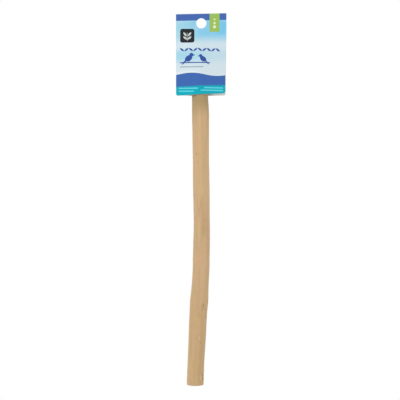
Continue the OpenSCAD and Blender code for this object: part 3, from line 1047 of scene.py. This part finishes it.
class Print(Shader):
    """Flat areas of ink on the card, from distances in the plane of the card in millimetres."""

    def __init__(self, name):
        super().__init__(name)
        self.place = self.coordinates()
        self.x, _, self.z = self.split(self.place)

    def past(self, value, a, b, corner=0.0):
        """How far a value is past the stretch from a to b, which is drawn in by a corner."""
        off = self.math("ABSOLUTE", self.minus(value, (a + b) / 2))
        return self.minus(off, abs(b - a) / 2 - corner)

    def turned(self, x, z, turn):
        """Places along and across a direction through a point."""
        c, s = math.cos(math.radians(turn)), math.sin(math.radians(turn))
        dx, dz = self.minus(self.x, x), self.minus(self.z, z)
        along = self.math("MULTIPLY_ADD", dx, c, self.times(dz, s))
        return along, self.math("MULTIPLY_ADD", dz, c, self.times(dx, -s))

    def blob(self, x, z, rx, rz, turn=0.0):
        """Distance in or out of an ellipse."""
        along, across = self.turned(x, z, turn)
        share = self.hypot(self.times(along, 1 / rx), self.times(across, 1 / rz))
        return self.times(self.minus(share, 1.0), min(rx, rz))

    def bar(self, x0, z0, x1, z1, corner):
        """Distance in or out of an upright rectangle with rounded corners."""
        qx, qz = self.past(self.x, x0, x1, corner), self.past(self.z, z0, z1, corner)
        outside = self.hypot(self.math("MAXIMUM", qx, 0.0), self.math("MAXIMUM", qz, 0.0))
        inside = self.math("MINIMUM", self.math("MAXIMUM", qx, qz), 0.0)
        return self.minus(self.plus(outside, inside), corner)

    def leaf(self, x, z, length, width, turn):
        """Distance in or out of a pointed leaf, which two arcs bound."""
        bend = (length**2 + width**2) / (4 * width)
        along, across = self.turned(x, z, turn)
        from_arc = self.plus(self.math("ABSOLUTE", across), bend - width / 2)
        return self.minus(self.hypot(along, from_arc), bend)

    def bird(self, x, z, size, facing):
        """Distance in or out of a plain bird that sits on a bar: body, head, tail, beak and leg."""
        joined = self.blob(x, z + 0.40 * size, 0.42 * size, 0.29 * size, facing * 34)
        leg = (x + facing * 0.03 * size, z - 0.02 * size, x + facing * 0.09 * size, z + 0.2 * size)
        for part in (
            self.blob(x + facing * 0.29 * size, z + 0.76 * size, 0.205 * size, 0.195 * size),
            self.leaf(x - facing * 0.44 * size, z + 0.02 * size, 0.82 * size, 0.17 * size, facing * 46),
            self.leaf(x + facing * 0.50 * size, z + 0.74 * size, 0.34 * size, 0.12 * size, -facing * 10),
            self.bar(*leg, 0.05),
        ):
            joined = self.math("MINIMUM", joined, part)
        return joined

    def above(self, z, slope, swing=0.0, wave=1.0, phase=0.0):
        """Distance above a sloping line with a gentle wave in it."""
        line = self.math("MULTIPLY_ADD", self.x, slope, z)
        if swing:
            turn = self.math("MULTIPLY_ADD", self.x, 2 * math.pi / wave, phase)
            line = self.plus(line, self.times(self.math("SINE", turn), swing))
        return self.minus(self.z, line)

    def paint(self, tone, distance, colour, share=1.0, soft=0.09):
        """Inks the inside of a form, where the distance is negative, with a slightly soft edge."""
        return self.mix(self.times(self.ramp(distance, soft, -soft), share), tone, colour)


def coated(s, tone):
    """Satin coated board: fine tooth, gentle unevenness and scuffs at the fold."""
    tooth = s.noise(s.place, 5.5, 3, 0.6)
    even = s.noise(s.place, 0.12, 2)
    scuff = s.noise(s.scaled(s.place, (0.7, 2.0, 3.0)), 1.0, 4, 0.6)
    worn = s.times(s.ramp(s.above(CARD_RISE - 0.16, FOLD_SLOPE), -0.25, 0.15), s.ramp(scuff, 0.5, 0.66))
    tone = s.mix(s.times(worn, 0.45), tone, WHITE)
    tone = s.mix(s.ramp(tooth, 0.35, 0.75, 0, 0.016), tone, WHITE)
    normal = s.bump(tooth, 0.12, 0.03, s.bump(even, 0.25, 0.5))
    rough = s.ramp(s.noise(s.place, 0.5, 2), 0.3, 0.7, 0.34, 0.44)
    return s.finish(tone, rough, normal, Specular_IOR_Level=0.06)


def fields(s):
    """The plain colour fields that both sides share: sky, top band, wave and foot band."""
    height = s.above(0.0, FOLD_SLOPE)
    cloud = s.noise(s.scaled(s.place, (0.035, 0.05, 0.07)), 1.0, 3)
    drift = s.math("MULTIPLY_ADD", cloud, CLOUD_DRIFT, s.minus(s.x, DRIFT_START))
    tone = s.mix(s.ramp(drift, *LEFT_DEEPENS, 0, 0.63), SKY_BLUE, SKY_DEEP)
    tone = s.mix(s.ramp(drift, *RIGHT_DEEPENS, 0, 0.85), tone, SKY_DEEP)
    tone = s.mix(s.ramp(height, *SKY_PALES), tone, SKY_PALE)
    tone = s.mix(s.ramp(height, *TOP_LIGHTENS, 0, 0.12), tone, WHITE)
    tone = s.mix(s.ramp(cloud, 0.5, 0.7, 0, 0.14), tone, WHITE)
    veil = s.times(s.ramp(height, *VEIL_STARTS), s.ramp(height, *VEIL_ENDS))
    veil = s.times(veil, s.ramp(drift, *VEIL_ACROSS, 0.3, 0.95))
    tone = s.mix(veil, tone, SKY_BLUE)
    tone = s.mix(s.ramp(height, *SKY_GREYS, 0, 0.5), tone, SKY_GREY)
    wave = s.above(*WAVE)
    glow = s.times(s.ramp(wave, *GLOW_RISE, 0, 0.5), s.ramp(s.x, *GLOW_ACROSS, 0.2, 1))
    tone = s.mix(glow, tone, WHITE)
    tone = s.paint(tone, wave, WAVE_BLUE, soft=0.12)
    tone = s.mix(s.ramp(s.above(*FOOT_BAND), *FOOT_SOFT), tone, TEAL)
    return s.paint(tone, s.minus(BAND_FOOT, height), BAND_BLUE)


def front_material():
    """The fields with a tab, a tile with a sprig, a row of leaves, two birds on a bar and ripples."""
    s = Print("card_front")
    tone = s.paint(fields(s), s.bar(*TAB_BOX), TAB_GREEN)
    for i, radius in enumerate(DOT_RADII):
        tone = s.paint(tone, s.blob(DOT_PLACE[0], DOT_PLACE[1] - DOT_STEP * i, radius, radius), TAB_PALE)
    tone = s.paint(tone, s.bar(*TILE_BOX), TILE_DARK)
    for x, z, turn in SPRIG:
        tone = s.paint(tone, s.leaf(x, z, *SPRIG_LEAF, turn), TILE_PALE)
    tone = s.paint(tone, s.bar(*STEM_BOX), TILE_PALE)
    for i in range(ROW_LEAVES):
        x, turn = ROW_PLACE[0] + LEAF_STEP * i, ROW_TURN if i % 2 else -ROW_TURN
        tone = s.paint(tone, s.leaf(x, ROW_PLACE[1], *ROW_LEAF, turn), TITLE_BLUE)
    tone = s.paint(tone, s.bar(*BAR_BOX), TITLE_BLUE)
    for x, size, facing in BIRDS:
        tone = s.paint(tone, s.bird(x, BIRD_FOOT, size, facing), TITLE_BLUE)
    tone = s.paint(tone, s.bar(*RULE_BOX), RULE_GREY, 0.8)
    swung = s.plus(s.z, s.times(s.math("SINE", s.times(s.x, RIPPLE_TURN)), RIPPLE_SWING))
    for x0, x1, z in RIPPLES:
        line = s.past(swung, z - RIPPLE_HALF, z + RIPPLE_HALF)
        tone = s.paint(tone, s.math("MAXIMUM", line, s.past(s.x, x0, x1)), RIPPLE_PALE, 0.8)
    return coated(s, tone)


def back_material():
    s = Print("card_back")
    return coated(s, fields(s))


def inside_material():
    """Bare board with a few flecks, and painted shade at the foot beside the branch, between the layers."""
    s = Print("card_inside")
    tooth = s.noise(s.place, 3.5, 4, 0.65)
    fleck = s.noise(s.place, 9, 2)
    tone = s.mix(tooth, BOARD_PALE, BOARD_GREY)
    tone = s.mix(s.ramp(fleck, 0.68, 0.78, 0, 0.3), tone, BOARD_FLECK)
    # Painted shade between the layers beside the branch, near the foot
    gap_shade = s.times(s.ramp(s.math("ABSOLUTE", s.x), *GAP_SHADE_ACROSS), s.ramp(s.z, *GAP_SHADE_FOOT))
    tone = s.mix(s.times(gap_shade, 0.6), tone, BOARD_GAP_SHADE)
    return s.finish(tone, 0.85, s.bump(tooth, 0.4, 0.06), Specular_IOR_Level=0.2)


def edge_material():
    s = Print("card_edge")
    layers = s.noise(s.scaled(s.place, (2.5, 14, 2.5)), 1.0, 3)
    tone = s.mix(layers, EDGE_PALE, EDGE_GREY)
    return s.finish(tone, 0.85, s.bump(layers, 0.4, 0.05), Specular_IOR_Level=0.2)


def hole_punch(material):
    """A round bar through both layers, which cuts the hang hole."""
    mesh = bpy.data.meshes.new("punch")
    bm = bmesh.new()
    r, depth = HANG_D / 2 * MM, PUNCH_LENGTH * MM
    bmesh.ops.create_cone(bm, cap_ends=True, segments=PUNCH_SIDES, radius1=r, radius2=r, depth=depth)
    bm.to_mesh(mesh)
    bm.free()
    mesh.materials.append(material)
    punch = new_object("punch", mesh)
    punch.rotation_euler = (math.radians(90), 0, 0)
    bpy.context.view_layer.update()
    return punch


def add_card(shape):
    card = new_object("hang_card", board_mesh(Board(shape)))
    edge = edge_material()
    for material in (front_material(), back_material(), inside_material(), edge):
        card.data.materials.append(material)
    cut(card, hole_punch(edge))
    smooth_shade(card.data, CARD_SHARP)
    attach(card, "root")
    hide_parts("header_card")


# Staples and glue

STEEL_DARK = (0.5, 0.5, 0.5)
STEEL_PALE = (0.68, 0.68, 0.66)
GLUE_PALE = linear(236, 226, 198)
GLUE_DEEP = linear(222, 205, 166)


def staple_material():
    """Galvanised wire with draw marks along it."""
    s = Shader("staple_wire")
    place = s.coordinates()
    drawn = s.noise(s.scaled(place, (16, 16, 0.8)), 1.0, 3)
    tone = s.mix(s.noise(place, 2.2, 2), STEEL_DARK, STEEL_PALE)
    rough = s.ramp(drawn, 0.3, 0.7, 0.26, 0.42)
    return s.finish(tone, rough, s.bump(drawn, 0.3, 0.02), Metallic=1.0)


def glue_material():
    """Milky hot glue."""
    s = Shader("hot_glue")
    cloud = s.noise(s.coordinates(), 0.7, 3)
    tone = s.mix(cloud, GLUE_PALE, GLUE_DEEP)
    return s.finish(tone, 0.38, s.bump(cloud, 0.3, 0.15), Subsurface_Weight=0.25, Subsurface_Scale=0.6 * MM)


def dress_node(name, material, ease):
    """A CAD piece whose shape is right gets its finish, and softened edges."""
    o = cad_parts[name]
    o.data.materials.clear()
    o.data.materials.append(material)
    m = o.modifiers.new("soft_edges", "BEVEL")
    m.width = ease * MM
    m.segments = 2
    m.limit_method = "ANGLE"
    m.angle_limit = math.radians(EASED_TURN)


bpy.context.scene.view_settings.view_transform = "Standard"
add_camera()
add_world(AMBIENT)
for lamp in LAMPS:
    add_lamp(*lamp)
add_floor()

shape = add_branch()
add_card(shape)
steel = staple_material()
dress_node("staple_upper", steel, STAPLE_EASE)
dress_node("staple_lower", steel, STAPLE_EASE)
dress_node("glue_bead", glue_material(), GLUE_EASE)
